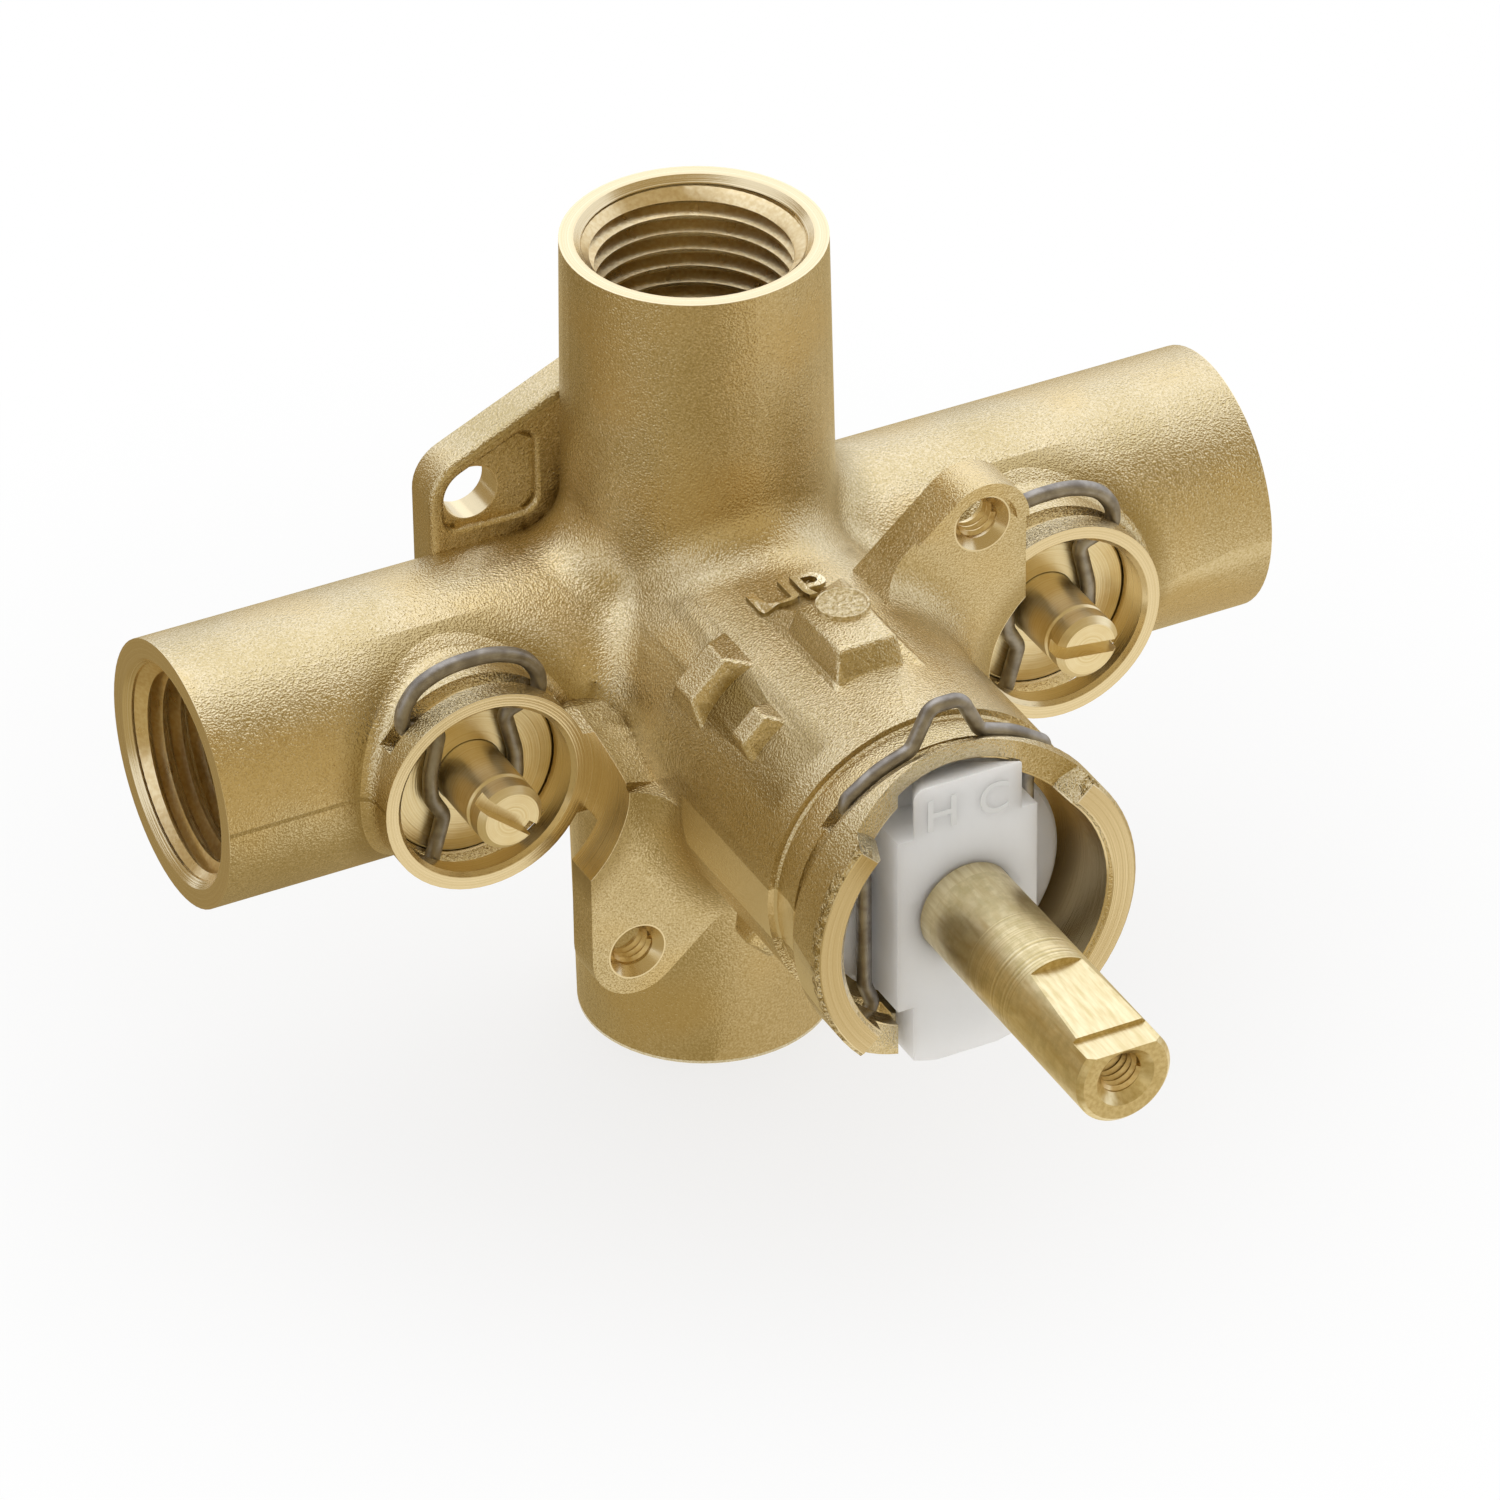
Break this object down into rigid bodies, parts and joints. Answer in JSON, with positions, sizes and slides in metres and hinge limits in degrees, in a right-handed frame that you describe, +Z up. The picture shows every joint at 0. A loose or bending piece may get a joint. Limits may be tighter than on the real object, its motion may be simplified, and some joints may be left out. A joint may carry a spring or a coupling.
{
  "type": "pressure balancing shower valve",
  "caption": "Brass rough-in shower valve with four threaded ports, slotted service stops and a clip-held balancing cartridge with a turning stem.",
  "frame": {"origin": "centre of the two wall screw holes, on the back face of the rear ears", "axes": "+X along the supply run from the hot inlet to the cold inlet, +Y to the back into the wall, +Z up to the shower outlet"},
  "size_m": [0.1094, 0.0963, 0.085],
  "materials": {
    "cast_brass": "blasted cast, machined rims",
    "turned_brass": "turned",
    "white_plastic": "moulded satin",
    "grey_plastic": "moulded satin",
    "spring_wire": "dull drawn wire",
    "spool_steel": "ground",
    "black_rubber": "moulded"
  },
  "bodies": {
    "valve": {"valve_body": "cast_brass", "hot_stop_bonnet": "turned_brass", "cold_stop_bonnet": "turned_brass", "shell_front_oring": "black_rubber", "shell_rear_oring": "black_rubber", "hot_inlet_seal": "black_rubber", "cold_inlet_seal": "black_rubber", "hot_stop_bonnet_oring": "black_rubber", "hot_stop_spindle_oring": "black_rubber", "cold_stop_bonnet_oring": "black_rubber", "cold_stop_spindle_oring": "black_rubber", "cartridge_clip": "spring_wire", "hot_stop_clip": "spring_wire", "cold_stop_clip": "spring_wire", "cartridge_shell": "white_plastic", "cartridge_rear_cap": "white_plastic", "balance_sleeve": "grey_plastic"},
    "stem": {"cartridge_stem": "turned_brass", "stem_front_oring": "black_rubber", "stem_rear_oring": "black_rubber", "mixing_rotor": "grey_plastic"},
    "spool": {"balance_spool": "spool_steel"},
    "hot_stop_poppet": {"hot_stop_poppet": "turned_brass", "hot_stop_washer": "black_rubber"},
    "hot_stop_spindle": {"hot_stop_spindle": "turned_brass"},
    "cold_stop_poppet": {"cold_stop_poppet": "turned_brass", "cold_stop_washer": "black_rubber"},
    "cold_stop_spindle": {"cold_stop_spindle": "turned_brass"}
  },
  "joints": [
    {"name": "stem_turn", "type": "hinge", "parent": "valve", "child": "stem", "pos_m": [0, -0.0705, 0], "axis": [0, -1, 0], "range_deg": [0, 250]},
    {"name": "spool_shuttle", "type": "slide", "parent": "valve", "child": "spool", "axis": [0, 1, 0], "range_m": [-0.0015, 0.0015]},
    {"name": "hot_stop_travel", "type": "slide", "parent": "valve", "child": "hot_stop_poppet", "axis": [0, 1, 0], "range_m": [0, 0.00317]},
    {"name": "hot_stop_turn", "type": "hinge", "parent": "hot_stop_poppet", "child": "hot_stop_spindle", "pos_m": [-0.03015, -0.0205, 0], "axis": [0, 1, 0], "range_deg": [0, 900]},
    {"name": "cold_stop_travel", "type": "slide", "parent": "valve", "child": "cold_stop_poppet", "axis": [0, 1, 0], "range_m": [0, 0.00317]},
    {"name": "cold_stop_turn", "type": "hinge", "parent": "cold_stop_poppet", "child": "cold_stop_spindle", "pos_m": [0.03015, -0.0205, 0], "axis": [0, 1, 0], "range_deg": [0, 900]}
  ],
  "couplings": [
    {"joint": "hot_stop_turn", "follows": "hot_stop_travel", "rad_per_m": 4947.3},
    {"joint": "cold_stop_turn", "follows": "cold_stop_travel", "rad_per_m": 4947.3}
  ]
}
